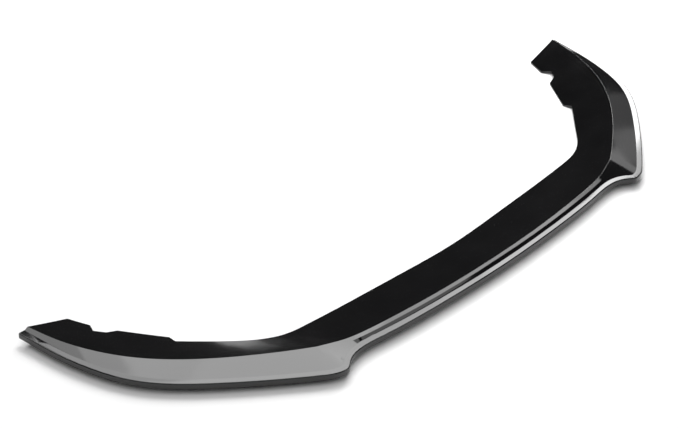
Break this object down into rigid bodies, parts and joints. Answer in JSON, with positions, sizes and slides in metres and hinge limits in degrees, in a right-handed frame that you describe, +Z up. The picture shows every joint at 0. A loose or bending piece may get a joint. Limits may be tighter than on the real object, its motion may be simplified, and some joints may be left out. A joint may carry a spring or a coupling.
{
  "type": "front splitter lip",
  "caption": "Wide U-shaped lip formed from one gloss black plastic sheet, screwed up under a car's front bumper as a splitter.",
  "frame": {"origin": "on the centre line, at the level the rear edge stands on, half way between the fangs and the ends of the wings", "axes": "+X across the car, -Y towards the front of the car, +Z up"},
  "size_m": [1.75, 0.5369, 0.038],
  "materials": {
    "gloss_black_abs": "vacuum formed, gloss"
  },
  "bodies": {
    "root": {"splitter_lip": "gloss_black_abs"}
  },
  "joints": []
}
